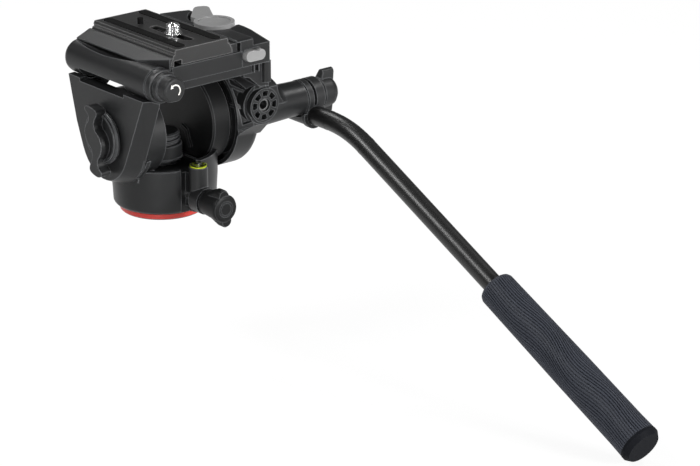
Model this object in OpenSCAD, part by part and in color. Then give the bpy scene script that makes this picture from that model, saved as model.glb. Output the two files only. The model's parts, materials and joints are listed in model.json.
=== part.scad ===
/* [Base and pan body] */
// radius of the foot ring that rests on the tripod
foot_radius = 30; // [28:0.5:31]
// thickness of the foot plate and its ring
foot_thick = 4.4; // [3.8:0.2:5]
// radius of the tripod thread
tripod_thread_radius = 4.76; // [3:0.01:5]
// depth of the tripod thread
tripod_thread_depth = 12; // [9:0.5:14]
// radius of the fixed pan spindle
spindle_radius = 9; // [8:0.25:9.5]
// radius of the pan body at its rim
pan_body_radius = 35.3; // [35:0.1:35.8]
// height of the floor between the two uprights
pan_floor_height = 34.5; // [33:0.5:35]
// height of the rim around that floor
pan_rim_height = 37; // [36:0.5:38]
// radius of the round column on the floor
column_radius = 14.7; // [13.6:0.1:15.5]
// height of the top of the column
column_top = 56.5; // [54:0.5:60]

/* [Tilt axis] */
// height of the tilt axis above the tripod
tilt_height = 62; // [61:0.25:66]
// radius of the left upright around the tilt axis
upright_radius = 31; // [28:0.5:31]
// inner face of the left upright, measured from the middle
upright_inner = 18; // [17:0.5:20]
// outer face of the left upright, measured from the middle
upright_outer = 35.2; // [34.6:0.1:35.4]
// radius of the damping drum
drum_radius = 33.5; // [32:0.25:34]
// left face of the damping drum
drum_left = 21; // [20:0.25:22]
// right face of the damping drum
drum_right = 36; // [35.5:0.1:36.2]
// radius of the right tilt shaft
shaft_radius = 7; // [6:0.25:8]

/* [Arms] */
// inner face of the left arm
left_arm_inner = 36; // [35.8:0.1:36.4]
// outer face of the left arm
left_arm_outer = 47; // [46:0.25:48]
// inner face of the right arm
right_arm_inner = 38; // [37.8:0.1:38.6]
// outer face of the right arm
right_arm_outer = 60; // [58.5:0.25:60.5]
// radius of the right arm around the tilt axis
right_arm_radius = 39; // [38:0.25:40]
// radius of the accessory hub at the back of the right arm
hub_radius = 12.4; // [11.8:0.1:12.8]
// radius of the thread in the accessory hub
hub_thread_radius = 3.175; // [2.4:0.005:3.6]

/* [Platform] */
// height of the underside of the carrier above the tilt axis
carrier_rise = 38.5; // [38.2:0.1:39]
// height of the underside of the platform above the tilt axis
platform_rise = 44.7; // [44:0.1:45.4]
// thickness of the platform under the camera plate
platform_thick = 11.8; // [11.3:0.1:12.3]
// rear end of the platform
platform_rear = 50; // [49.5:0.25:51]
// front end of the platform
platform_front = 48; // [46.5:0.25:49]
// radius of the side bar
side_bar_radius = 12; // [11.5:0.1:12.3]
// distance of the side bar from the middle
side_bar_offset = 35; // [34.8:0.1:35.3]
// height of the side bar axis above the tilt axis
side_bar_rise = 45.4; // [45:0.1:46]

/* [Camera plate] */
// length of the camera plate
plate_length = 94; // [92:0.5:98]
// width of the camera plate at its foot
plate_foot_width = 52; // [51:0.25:52.5]
// width of the camera plate on top
plate_top_width = 44; // [42:0.25:45]
// height of the camera plate
plate_height = 11.2; // [10.6:0.1:12]
// radius of the camera thread
camera_thread_radius = 4.76; // [3.9:0.01:5]
// length of the camera thread above the plate
camera_thread_length = 7.5; // [5.5:0.25:9]
// width of the slot for the camera screw
slot_width = 7.4; // [7.2:0.1:8.4]
// width of each rubber strip
strip_width = 7.2; // [5.5:0.1:8]

/* [Lever and buttons] */
// radius of the lever hub
lever_radius = 14.3; // [13.4:0.1:14.5]
// length of the lever from its pivot to the middle of the tab
lever_reach = 33; // [30:0.5:35]
// width of the release button
button_width = 16.5; // [14:0.5:17.5]
// height of the release button
button_height = 7.6; // [6.6:0.1:8.6]
// free travel of the release button
button_travel = 3.5; // [2:0.25:3.75]

/* [Knobs] */
// length of the pan lock knob
pan_knob_length = 20.5; // [18:0.5:22]
// radius to the tips of the pan lock knob
pan_knob_radius = 13.8; // [12.4:0.2:14.4]
// radius of the disc of the tilt lock knob
tilt_knob_radius = 19; // [18:0.5:21]
// length of the tilt lock lever from tip to tip
tilt_lever_length = 53; // [46:0.5:56]
// radius of the slide lock knob
slide_knob_radius = 8.8; // [7.6:0.1:9.4]

/* [Pan bar] */
// radius of the pan bar tube
bar_radius = 7; // [6:0.1:7.1]
// distance of the pan bar below the joint axis
bar_drop = 12; // [11.8:0.1:12.4]
// bend angle of the pan bar
bar_bend = 25.8; // [0.8:0.5:40.8]
// straight length of the bar from the bend corner to the grip
bar_reach = 166; // [120:1:220]
// length of the rubber grip
grip_length = 158; // [110:1:180]
// radius of the grip at its thin end
grip_thin_radius = 11.6; // [10.5:0.1:12.5]
// radius of the grip at its thick end
grip_thick_radius = 14.2; // [12.8:0.1:15.5]

/* [Hidden] */
$fn = 96;
carrier_bottom = tilt_height + carrier_rise;
platform_bottom = tilt_height + platform_rise;
platform_top = platform_bottom + platform_thick;
side_bar_height = tilt_height + side_bar_rise;
cut = 0.5;
run_gap = 0.3;
fit_gap = 0.05;
insert_radius = tripod_thread_radius + 2.8;
ring_inner = foot_radius - 2.8;
spindle_flange_radius = 22;
spindle_flange_top = foot_thick + 3;
washer_top = spindle_flange_top + 0.7;
pan_body_bottom = foot_thick + 0.35;
pan_ceiling = washer_top + 0.1;
bush_wall = 2.2;
pan_bush_radius = spindle_radius + fit_gap + bush_wall;
pan_bush_bottom = 23.2;
spindle_top = column_top - 13;
rim_thick = 3.6;
edge_round = 4;
wing_radius = pan_body_radius + 3.9;
wing_left = 3;
wing_right = drum_right + 1.2;
wing_top = pan_rim_height + 6;
lock_height = 17.6;
boss_radius = 9.4;
boss_rear = 52;
stem_radius = 3;
shoe_radius = 4.9;
level_radius = 6.6;
level_rear = 42.6;
level_foot = lock_height - 8;
level_top = pan_rim_height + 3.8;
vial_radius = 5.2;
recess_half = 8.2;
recess_front = 31;
left_axle_radius = 8;
left_journal_radius = 6;
left_thread_radius = 5;
left_bush_radius = left_journal_radius + fit_gap + 2;
pad_outer = left_arm_outer + 1.2;
drum_cavity = drum_radius - 4;
drum_wall = 3;
drum_screw_x = drum_left + 5.5;
drum_screw_seat = tilt_height - drum_radius - 10;
drum_screw_top = tilt_height - drum_cavity + 0.2;
cover_thick = 2.4;
drum_bush_radius = shaft_radius + fit_gap + 3;
rotor_radius = drum_cavity - 3;
stator_thick = 1.3;
spring_cavity = 30;
spring_depth = 14.4;
spring_radius = 20;
wire_radius = 1.2;
spring_cover_thick = 1.4;
arm_axis_back = 33;
arm_axis_height = tilt_height + 6.5;
arm_width = right_arm_outer - right_arm_inner;
arm_round = 8;
neck_left = 44.3;
arm_tube_root = 13.4;
tube_flare = 9.5;
tube_root = 7.5;
arm_tube_tip = 12.2;
arm_tube_end = right_arm_outer + 36.4;
hub_x = 55.4;
hub_z = tilt_height + 12.6;
hub_rear = 47;
hub_recess = 1.5;
hub_depth = 14;
hub_sector = 31;
skin_rear = 46;
rosette_end = arm_tube_end + 0.5;
clamp_start = rosette_end + 0.2;
clamp_radius = 12.6;
rosette_radius = 10;
neck_radius = 8;
bar_x = arm_tube_end + bar_radius + run_gap;
bar_z = arm_axis_height - bar_drop;
socket_radius = bar_radius + 1.9;
socket_rear = 41;
socket_front = 20;
wing_start = bar_x + socket_radius + 0.4;
clamp_end = wing_start - 1.5;
wing_length = 14.8;
bolt_radius = 4;
corner_back = 80.6;
bend_radius = 90;
plate_bottom = platform_top + run_gap;
plate_top = plate_bottom + plate_height;
plate_shoulder = plate_bottom + 2.2;
plate_rear = 49;
plate_front = plate_length - plate_rear;
plate_slope = (plate_foot_width - plate_top_width) / 2 / (plate_top - plate_shoulder);
rail_top = plate_shoulder + 3.8;
rail_inner_top = plate_foot_width / 2 + run_gap - plate_slope * (rail_top - plate_shoulder);
platform_left = 26;
rail_outer = 37;
rail_front = 46;
rail_rear = 49;
rail_taper = 24;
carrier_left = 25;
carrier_right = 44;
carrier_front = 46;
carrier_rear = 48;
window_front = 29;
window_rear = 22;
window_floor = tilt_height + 32.6;
bracket_rear = 22.4;
bracket_front = 35.5;
screw_x = 19.5;
bar_flat = side_bar_height - 4.1;
housing_left = 34;
housing_front = 42;
housing_top = platform_top + 8;
housing_low_top = housing_top - 4.5;
housing_slope = 10.2;
jaw_top = rail_top + 0.1;
jaw_front = 28;
jaw_outer = plate_foot_width / 2 + 5;
lever_x = jaw_outer + 12;
housing_right = lever_x + 15;
housing_step = lever_x + 0.5;
lever_y = -7;
lever_bottom = platform_top + 0.8;
lever_boss_radius = 9;
lever_disc_bottom = jaw_top + 0.6;
lever_top = housing_top + 2.6;
lever_turn = -24;
lever_pin_radius = 4;
button_x = housing_left + run_gap + button_width / 2;
button_z = platform_bottom + 8.2;
button_rear = platform_rear + 4.5;
button_inner = 42;
slide_knob_length = 12.7;
lock_shaft_radius = 3.2;
screw_y = -16.8;
screw_neck_radius = slot_width / 2 - 1.1;
slot_front = 7.5;
slot_rear = -36.9;
pin_x = -2;
pin_y = 18.4;
strip_depth = 1.2;
strip_proud = 0.6;
strip_left = -14.2;
strip_right = 15.9;
strip_end = 2.5;

module along_x(x, y, z) {
  translate([x, y, z]) rotate([0, 90, 0]) children();
}

module along_y(x, y, z) {
  translate([x, y, z]) rotate([-90, 0, 0]) children();
}

module side_profile(x, length) {
  translate([x, 0, 0]) rotate([90, 0, 90]) linear_extrude(length) children();
}

module end_profile(front, length) {
  translate([0, front, 0]) rotate([90, 0, 0]) linear_extrude(length) children();
}

module slot_shape(length, width) {
  square([length - width, width], center = true);
  for (side = [-1, 1]) translate([side * (length - width) / 2, 0]) circle(d = width);
}

module tube(outer, inner, height) {
  difference() {
    cylinder(r = outer, h = height);
    translate([0, 0, -cut]) cylinder(r = inner, h = height + 2 * cut);
  }
}

module foot_plate() {
  color("dimgray") difference() {
    rotate_extrude() polygon([[0, 0], [foot_radius - 1.2, 0], [foot_radius - 0.6, 0.6],
      [foot_radius - 0.6, 0.8],
      [ring_inner, 0.8], [ring_inner, foot_thick], [0, foot_thick]]);
    translate([0, 0, -cut]) cylinder(r = insert_radius, h = foot_thick + 2 * cut);
    foot_screw_places() {
      translate([0, 0, -cut]) cylinder(r = 2 + fit_gap, h = foot_thick + 2 * cut);
      translate([0, 0, -cut]) cylinder(r = 3.8, h = 2.4 + cut);
    }
  }
}

module foot_screw_places() {
  for (turn = [0, 120, 240]) rotate(turn + 30) translate([16, 0, 0]) children();
}

module foot_ring() {
  color("red") rotate_extrude() polygon([[ring_inner, 0.8], [foot_radius - 0.4, 0.8], [foot_radius, 1.2],
    [foot_radius, foot_thick - 0.4], [foot_radius - 0.4, foot_thick], [ring_inner, foot_thick]]);
}

module thread_insert() {
  color("silver") difference() {
    cylinder(r = insert_radius, h = tripod_thread_depth + 2);
    translate([0, 0, -cut]) cylinder(r = tripod_thread_radius, h = tripod_thread_depth + cut);
  }
}

module foot_screws() {
  color("gray") foot_screw_places() difference() {
    union() {
      translate([0, 0, 0.4]) cylinder(r = 3.6, h = 2);
      translate([0, 0, 2.4]) cylinder(r = 2, h = 4.4);
    }
    translate([0, 0, 0.4 - cut]) cylinder(r = 1.5, h = 1.2 + cut, $fn = 6);
  }
}

module pan_spindle() {
  color("silver") difference() {
    union() {
      translate([0, 0, foot_thick]) cylinder(r = spindle_flange_radius, h = spindle_flange_top - foot_thick);
      translate([0, 0, foot_thick]) cylinder(r = spindle_radius, h = spindle_top - foot_thick);
      translate([0, 0, foot_thick]) cylinder(r = spindle_radius - 3, h = spindle_top + 6 - foot_thick);
    }
    translate([0, 0, foot_thick - cut]) cylinder(r = insert_radius,
      h = tripod_thread_depth + 2.2 - foot_thick + cut);
    foot_screw_places() translate([0, 0, foot_thick - cut]) cylinder(r = 2 + fit_gap, h = 2.6 + cut);
  }
}

module spindle_nut() {
  color("gray") translate([0, 0, spindle_top]) difference() {
    cylinder(r = spindle_radius + 1, h = 5, $fn = 6);
    translate([0, 0, -cut]) cylinder(r = spindle_radius - 3 + fit_gap, h = 5 + 2 * cut);
  }
}

module thrust_washer() {
  color("ivory") translate([0, 0, spindle_flange_top])
    tube(spindle_flange_radius - 1, spindle_radius + run_gap, washer_top - spindle_flange_top);
}

module cup_shape(radius) {
  rotate_extrude() polygon(concat([[0, pan_body_bottom]],
    [for (a = [0:15:75]) [radius - 4.9 + edge_round * sin(a), pan_body_bottom + edge_round * (1 - cos(a))]],
    [[radius - 0.7, 15], [radius, 26], [radius, pan_rim_height - 0.6], [radius - 0.6, pan_rim_height],
      [radius - rim_thick, pan_rim_height], [radius - rim_thick, pan_floor_height], [0, pan_floor_height]]));
}

module pan_body() {
  color("dimgray") difference() {
    union() {
      difference() {
        cup_shape(pan_body_radius);
        translate([-recess_half, -pan_body_radius - 1, 0])
          cube([recess_half + wing_left, pan_body_radius + 1 - recess_front, pan_rim_height + 1]);
        translate([-recess_half - 4.6, -recess_front - 1.9, 0]) rotate(-9.5) translate([0, -5, 0])
          cube([8, 5, pan_rim_height + 1]);
      }
      intersection() {
        union() {
          cup_shape(wing_radius);
          translate([0, 0, pan_floor_height]) tube(wing_radius, wing_radius - rim_thick,
            wing_top - pan_floor_height);
        }
        translate([wing_left, -wing_radius - 1, 0]) cube([wing_right - wing_left, 2 * wing_radius + 2,
          tilt_height]);
      }
      along_x(-upright_outer, 0, tilt_height) cylinder(r = upright_radius, h = upright_outer - upright_inner);
      translate([3 - upright_outer, -16, pan_floor_height - 6])
        cube([upright_outer - upright_inner - 3, 32, tilt_height - pan_floor_height + 6]);
      intersection() {
        along_x(-upright_outer, 0, tilt_height) cylinder(r = upright_radius + 3, h = 3.6);
        translate([-upright_outer - 1, -40, pan_floor_height - 8]) cube([6, 50, 22]);
      }
      intersection() {
        translate([drum_left - 3, -20, pan_floor_height - 4])
          cube([drum_right - drum_left + 3, 40, tilt_height - 26 - pan_floor_height + 4]);
        translate([0, 0, pan_body_bottom]) cylinder(r = wing_radius, h = tilt_height);
      }
      translate([0, -level_rear, level_foot]) cylinder(r = level_radius, h = level_top - level_foot);
      translate([-2.5, -level_rear, level_foot]) cube([5, level_rear - recess_front + 1,
        pan_floor_height - level_foot]);
      along_y(0, -boss_rear, lock_height) cylinder(r = boss_radius, h = boss_rear - level_rear);
    }
    translate([-upright_outer - 10, -60, 0]) cube([10, 120, 120]);
    translate([0, 0, pan_body_bottom - cut])
      cylinder(r = spindle_flange_radius + 1.5, h = pan_ceiling - pan_body_bottom + cut);
    translate([0, 0, pan_body_bottom]) cylinder(r = spindle_radius + 0.6, h = pan_floor_height);
    translate([0, 0, pan_bush_bottom]) cylinder(r = pan_bush_radius, h = pan_floor_height);
    along_x(drum_left, 0, tilt_height) cylinder(r = drum_radius, h = 30);
    along_x(-upright_outer - cut, 0, tilt_height) cylinder(r = left_axle_radius,
      h = upright_outer + cut - upright_inner + cut);
    along_y(0, -boss_rear - cut, lock_height) cylinder(r = stem_radius + fit_gap, h = boss_rear + cut);
    along_y(0, -24, lock_height) cylinder(r = shoe_radius + fit_gap, h = 24);
    translate([0, -level_rear, level_top - 8]) cylinder(r = vial_radius, h = 8 + cut);
    translate([0, -level_rear, level_top])
      cylinder(r = level_radius + fit_gap, h = wing_top - level_top + cut);
    drum_screw_places() {
      translate([0, 0, pan_body_bottom - cut]) cylinder(r = 3.2, h = drum_screw_seat - pan_body_bottom + cut);
      translate([0, 0, drum_screw_seat - cut]) cylinder(r = 1.5 + fit_gap, h = 20);
    }
  }
}

module drum_screw_places() {
  for (side = [-1, 1]) translate([drum_screw_x, side * 7, 0]) children();
}

module pan_bush() {
  color("goldenrod") translate([0, 0, pan_bush_bottom])
    tube(pan_bush_radius, spindle_radius + fit_gap, pan_floor_height - pan_bush_bottom);
}

module pan_column() {
  color("darkslategray") difference() {
    translate([0, 0, pan_floor_height]) rotate_extrude() polygon([[0, 0], [column_radius - 1.4, 0],
      [column_radius - 1.4, 2.6], [column_radius + 0.5, 3], [column_radius + 0.5, 3.8], [column_radius, 4.2],
      [column_radius, 13], [column_radius - 0.6, 13.6], [column_radius - 3, 13.6], [column_radius - 3, 15],
      [column_radius - 1.2, 15.4], [column_radius - 1.2, 17], [column_radius - 3, 17.4],
        [column_radius - 3, 18.6],
      [column_radius - 1.6, 19], [column_radius - 1.6, column_top - pan_floor_height - 1],
      [column_radius - 2.6, column_top - pan_floor_height],
      [0, column_top - pan_floor_height]]);
    translate([0, 0, pan_floor_height - cut])
      cylinder(r = spindle_radius + 1.3, h = spindle_top + 7 - pan_floor_height + cut);
  }
}

module pan_brake_shoe() {
  color("tan") difference() {
    along_y(0, -17, lock_height) cylinder(r = shoe_radius, h = 17 - spindle_radius + 1);
    translate([0, 0, lock_height - 10]) cylinder(r = spindle_radius + 0.5, h = 20);
  }
}

module pan_lock_stem() {
  color("silver") along_y(0, -boss_rear - 12, lock_height) cylinder(r = stem_radius,
    h = boss_rear + 12 - 17.4);
}

module pan_lock_knob() {
  root = -boss_rear - 1;
  color("dimgray") difference() {
    union() {
      along_y(0, root - pan_knob_length, lock_height) rotate_extrude() polygon([[0, 0], [7.6, 0],
        [9.2, 0.6], [9.9, 1.8],
        [9.9, 4], [8.6, pan_knob_length], [0, pan_knob_length]]);
      for (turn = [84, 264]) along_y(0, root, lock_height) rotate([180, 0, turn]) hull() {
        translate([3.4, 0, 1]) cylinder(r = 5, h = 1, $fn = 32);
        translate([pan_knob_radius - 4, 0, pan_knob_length - 7]) cylinder(r = 4, h = 4.9, $fn = 32);
        translate([pan_knob_radius - 4.8, 0, pan_knob_length - 1.6]) cylinder(r = 4, h = 0.7, $fn = 32);
      }
    }
    along_y(0, -boss_rear - 12, lock_height) cylinder(r = stem_radius, h = 20);
    along_y(0, root - pan_knob_length - cut, lock_height) tube(5.6, 4.4, 0.7 + cut);
  }
}

module level_vial() {
  color("yellowgreen") translate([0, -level_rear, level_top - 8]) rotate_extrude()
    polygon([[0, 0], [vial_radius, 0], [vial_radius, 7.2], [vial_radius - 1, 7.8], [0, 8.2]]);
}

module level_ring() {
  color("dimgray") translate([0, -level_rear, level_top]) difference() {
    rotate_extrude() polygon([[0, 0], [level_radius, 0], [level_radius, 0.5], [level_radius - 0.5, 1],
      [0, 1]]);
    translate([0, 0, -cut]) cylinder(r = vial_radius - 0.6, h = 1 + 2 * cut);
  }
}

module tilt_drum() {
  color("dimgray") difference() {
    union() {
      along_x(drum_left, 0, tilt_height) rotate_extrude() polygon([[0, 0], [drum_radius - 1.2, 0],
        [drum_radius, 1.2],
        [drum_radius, drum_right - drum_left - 0.8], [drum_radius - 0.8, drum_right - drum_left],
        [0, drum_right - drum_left]]);
      side_profile(drum_left - 1.8, 2.4) translate([0, tilt_height])
        polygon([[2.5, -5.5], [-4, -8.2], [-8.6, -20.3], [-5.8, -20.8], [-1.6, -10.4], [3.2, -8.2]]);
    }
    along_x(drum_left + drum_wall, 0, tilt_height) cylinder(r = drum_cavity, h = 30);
    along_x(drum_left + 1, 0, tilt_height) cylinder(r = shaft_radius + fit_gap, h = 30);
    drum_screw_places() translate([0, 0, drum_screw_seat]) cylinder(r = 1.5 + fit_gap,
      h = drum_screw_top + 0.3 - drum_screw_seat);
  }
}

module drum_cover() {
  color("gray") along_x(drum_right - cover_thick, 0, tilt_height) tube(drum_cavity, drum_bush_radius,
    cover_thick);
}

module drum_bush() {
  color("goldenrod") along_x(drum_right - cover_thick, 0, tilt_height)
    tube(drum_bush_radius, shaft_radius + fit_gap, cover_thick + 0.6);
}

module drum_seal() {
  color("black") along_x(drum_right, 0, tilt_height) tube(drum_radius - 0.8, drum_radius - 3.6, 1.1);
}

module drum_screws() {
  color("silver") drum_screw_places() {
    translate([0, 0, drum_screw_seat - 2.6]) cylinder(r = 2.9, h = 2.6);
    translate([0, 0, drum_screw_seat]) cylinder(r = 1.5, h = drum_screw_top - drum_screw_seat);
  }
}

module stator_discs() {
  color("silver") for (x = [drum_left + drum_wall, drum_right - cover_thick - stator_thick])
    along_x(x, 0, tilt_height) tube(drum_cavity, drum_bush_radius, stator_thick);
}

module tilt_rotor() {
  rotor_start = drum_left + drum_wall + stator_thick + 0.6;
  rotor_end = drum_right - cover_thick - stator_thick - 0.6;
  color("slategray") along_x(rotor_start, 0, tilt_height) tube(rotor_radius, shaft_radius,
    rotor_end - rotor_start);
}

module right_shaft() {
  color("silver") along_x(drum_left + 1.2, 0, tilt_height)
    cylinder(r = shaft_radius, h = right_arm_inner + 16 - drum_left - 1.2);
}

module left_axle() {
  color("silver") {
    along_x(-upright_outer, 0, tilt_height) cylinder(r = left_axle_radius,
      h = upright_outer - upright_inner - 1);
    along_x(-left_arm_outer - 0.2, 0, tilt_height) cylinder(r = left_journal_radius,
      h = left_arm_outer + 0.2 - upright_outer);
    along_x(-left_arm_outer - 7, 0, tilt_height) cylinder(r = left_thread_radius, h = 7);
  }
}

module left_bush() {
  color("goldenrod") along_x(-left_arm_outer, 0, tilt_height)
    tube(left_bush_radius, left_journal_radius + fit_gap, left_arm_outer - left_arm_inner);
}

module tilt_lock_pad() {
  color("tan") along_x(-pad_outer, 0, tilt_height) tube(15, left_journal_radius + 0.3, 0.9);
}

function lever_height(rise) = rise * (rise > 0 ? 0.86 : 1) * tilt_lever_length / 53;

function loop_point(loop, i, f) = let (n = len(loop), a = loop[(i + n - 1) % n], b = loop[i],
  c = loop[(i + 1) % n],
  d = loop[(i + 2) % n]) b + (c - a) * f / 2 + (2 * a - 5 * b + 4 * c - d)
    * f * f / 2 + (3 * b - a - 3 * c + d) * f * f * f / 2;

function smooth_loop(loop) = [for (i = [0:len(loop) - 1]) for (f = [0:0.25:0.75]) loop_point(loop, i, f)];

module tilt_lock_knob() {
  face = pad_outer + 0.5;
  edge = [[-1.4, 25.4], [-4.6, 23.4], [-4.4, 20], [-2.4, 16.6], [-1.2, 12.4], [-2.4, 7.6], [-6.6, 3.8],
    [-9.4, -2],
    [-9.2, -6.8], [-7.2, -11], [-4.6, -14.6], [-5, -19], [-8.6, -22.4], [-8, -25.4], [-4, -26.5]];
  color("dimgray") difference() {
    union() {
      along_x(-face, 0, tilt_height) rotate([180, 0, 0]) rotate_extrude() polygon([[0, 0],
        [tilt_knob_radius, 0],
        [tilt_knob_radius, 1.4], [tilt_knob_radius - 0.6, 2], [tilt_knob_radius - 1.4, 2],
          [tilt_knob_radius - 1.8, 3.6],
        [tilt_knob_radius - 3, 3.6], [tilt_knob_radius - 3.8, 2], [0, 2]]);
      side_profile(-face - 9.2, 8.2) translate([0, tilt_height])
        polygon(smooth_loop(concat([for (p = edge) [p[0], lever_height(p[1])]],
          [for (p = edge) [-p[0], lever_height(-p[1])]])));
    }
    along_x(-left_arm_outer - 7.4, 0, tilt_height) cylinder(r = left_thread_radius + fit_gap, h = 12);
  }
}

module left_arm() {
  color("dimgray") difference() {
    union() {
      hull() {
        side_profile(-left_arm_inner - 1.5, 1.5) translate([0, tilt_height]) polygon(concat([[-49.5, 35],
          [-48.6, 31],
          [-41.7, 18.5], [-34.8, 4.8]], [for (a = [190:10:350]) [33.2 * cos(a), 36 * sin(a)]],
          [[35, 3], [40, 21], [43.5, 35]]));
        side_profile(-left_arm_outer, 1) translate([0, tilt_height]) polygon(concat([[-44.5, 35],
          [-37.8, 22.2],
          [-30.5, 6.1]], [for (a = [195:10:345]) [2.5 + 27.8 * cos(a), 32.4 * sin(a)]],
          [[34.2, 3], [39, 21], [42.5, 35]]));
      }
      end_profile(-window_rear + 2.4, 5.6) bracket_shape(25.2);
      end_profile(bracket_front + 6.5, 13) bracket_shape(18);
    }
    translate([-60, -window_rear, window_floor]) cube([28, window_rear + window_front, 20]);
    along_y(-side_bar_offset, -70, side_bar_height) cylinder(r = side_bar_radius + run_gap, h = 140);
    along_x(-left_arm_outer - cut, 0, tilt_height) cylinder(r = left_bush_radius, h = 20);
    platform_screw_places() cylinder(r = 2 + fit_gap, h = 9);
  }
}

module bracket_shape(rise) {
  translate([0, tilt_height]) polygon([[-left_arm_inner - 1.5, rise], [-left_arm_inner - 1.5, 35],
    [1 - carrier_left, carrier_rise], [4.5 - screw_x, carrier_rise], [4.5 - screw_x, carrier_rise - 4],
      [-33, rise]]);
}

module platform_screw_places() {
  for (y = [-bracket_rear, bracket_front]) translate([-screw_x, y, carrier_bottom - 6]) children();
}

module right_arm() {
  color("dimgray") difference() {
    union() {
      along_x(right_arm_inner, 0, tilt_height) rotate_extrude() polygon(concat([[0, 0],
        [right_arm_radius, 0]],
        [for (a = [0:15:90]) [right_arm_radius - arm_round * (1 - cos(a)),
          arm_width - arm_round * (1 - sin(a))]],
        [[0, arm_width]]));
      side_profile(right_arm_inner, arm_width) translate([0, tilt_height]) polygon([[-skin_rear, -1],
        [-skin_rear, carrier_rise], [38, carrier_rise], [right_arm_radius, 0], [0, 0], [-36, -11]]);
      side_profile(neck_left, right_arm_outer - neck_left) translate([0, tilt_height])
        polygon([[-skin_rear, 30], [-skin_rear, platform_rise], [36, platform_rise], [38, 30]]);
      translate([right_arm_outer - 2.6, -skin_rear - 0.4, carrier_bottom - 9])
        cylinder(r = 3.4, h = platform_bottom - carrier_bottom + 9);
      for (x = [neck_left, neck_left + 4.2]) translate([x, -skin_rear - 3.4, carrier_bottom + 0.6])
        cube([1, 4, platform_bottom - carrier_bottom - 0.6]);
    }
    arm_pocket();
    arm_slant();
    difference() {
      along_x(right_arm_inner - cut, 0, tilt_height) tube(right_arm_radius - 2.8, spring_cavity + 1.6,
        8 + cut);
      arm_rib();
    }
    along_y(hub_x, -hub_rear - cut, hub_z) cylinder(r = hub_radius + fit_gap, h = hub_depth + cut + fit_gap);
    along_y(hub_x, -hub_rear - cut, hub_z) cylinder(r = hub_radius + 1.4, h = hub_rear - skin_rear + 1 + cut);
    translate([right_arm_inner - cut, -60, carrier_bottom]) cube([neck_left - right_arm_inner + cut, 120,
      20]);
    along_x(right_arm_inner - cut, 0, tilt_height) cylinder(r = shaft_radius, h = 16.4 + cut);
    along_x(right_arm_inner - cut, 0, tilt_height) tube(spring_cavity, spring_radius - 8, spring_depth + cut);
    translate([lever_x, lever_y, carrier_bottom - 8.5]) cylinder(r = lever_pin_radius - 1, h = 20);
  }
}

module arm_pocket() {
  arm_sunk(0) polygon([[right_arm_inner - cut, -4.8], [50, 0.6], [55, 1.6], [56, 24.9], [51.3, 27.2],
    [42.6, 34.8],
    [right_arm_inner - cut, 36]]);
  arm_sunk(3.6) {
    polygon([[39.2, 24.4], [39.4, 14], [41, 14], [42.6, 17], [43.4, 22]]);
    polygon([[39.4, 11], [41, 11], [43, 9.4], [45.6, 2.2], [40.6, -0.4]]);
    polygon([[39.4, 26.6], [44.4, 23.6], [46.4, 23.4], [42.4, 29.4], [39.6, 29.6]]);
  }
}

module arm_sunk(depth) {
  difference() {
    end_profile(-10, 60) translate([0, tilt_height]) children();
    along_x(right_arm_inner - 1, 0, tilt_height)
      cylinder(r1 = right_arm_radius - 1.3 - depth, r2 = right_arm_radius + 17.1 - depth, h = 20.5);
    along_y(hub_x, 3.5 - skin_rear, hub_z) cylinder(r = hub_radius + 2.6, h = 60);
  }
}

module arm_rib() {
  translate([right_arm_inner - 1, -60, hub_z - 1.6]) cube([20, 60, 2]);
}

module arm_slant() {
  translate([right_arm_inner - 0.5, -right_arm_radius + 0.2, tilt_height - 30]) rotate(-46.6)
    translate([-8, -20, 0])
    cube([30, 20, 60]);
}

module bar_mount() {
  color("dimgray") difference() {
    union() {
      along_x(right_arm_outer, -arm_axis_back, arm_axis_height)
        cylinder(r1 = arm_tube_root, r2 = arm_tube_tip, h = arm_tube_end - right_arm_outer);
      along_y(hub_x, -hub_rear, hub_z) cylinder(r = hub_radius, h = hub_depth);
      intersection() {
        along_x(right_arm_outer, -arm_axis_back, arm_axis_height) rotate_extrude() polygon(concat([[0, 0]],
          [[arm_tube_root - 0.5 + tube_flare, 0]],
          [for (a = [0:15:90]) [arm_tube_root - 0.5 + tube_flare * (1 - sin(a)),
            tube_root + tube_flare * (1 - cos(a))]],
          [[0, tube_root + tube_flare]]));
        translate([right_arm_outer, -skin_rear - 0.2, arm_axis_height + 4]) cube([40, 40, 30]);
      }
    }
    along_y(hub_x, -hub_rear - cut, hub_z) cylinder(r = hub_insert_radius(), h = 13 + cut);
    hub_pockets();
    along_x(arm_tube_end - 14, -arm_axis_back, arm_axis_height) cylinder(r = bolt_radius, h = 20);
  }
}

function hub_insert_radius() = hub_thread_radius + 1.6;

module hub_pockets() {
  for (turn = [0:45:315]) along_y(hub_x, -hub_rear - cut, hub_z) intersection() {
    tube(hub_radius - 2, hub_insert_radius() + 1.8, 4.5 + cut);
    rotate(turn + 4 - hub_sector / 2) cube([20, 20, 10]);
    rotate(turn + 4 + hub_sector / 2) translate([0, -20, 0]) cube([20, 20, 10]);
  }
}

module balance_spring() {
  turns = 3;
  steps = 24;
  sides = 10;
  pitch = 3.2;
  rings = turns * steps;
  ring_points = [for (i = [0:rings]) for (j = [0:sides - 1])
    let (a = 360 * i / steps, b = 360 * j / sides, r = spring_radius + wire_radius * cos(b))
    [r * cos(a), r * sin(a), pitch * i / steps + wire_radius * sin(b)]];
  skin = [for (i = [0:rings - 1]) for (j = [0:sides - 1])
    let (k = (j + 1) % sides) [i * sides + j, (i + 1) * sides + j, (i + 1) * sides + k, i * sides + k]];
  first_end = [for (j = [0:sides - 1]) j];
  last_end = [for (j = [sides - 1:-1:0]) rings * sides + j];
  color("silver") along_x(right_arm_inner + 2.8, 0, tilt_height) polyhedron(ring_points, concat(skin,
    [first_end, last_end]));
}

module spring_cover() {
  color("gray") along_x(right_arm_inner, 0, tilt_height) tube(spring_cavity, spring_radius - 8,
    spring_cover_thick);
}

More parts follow.
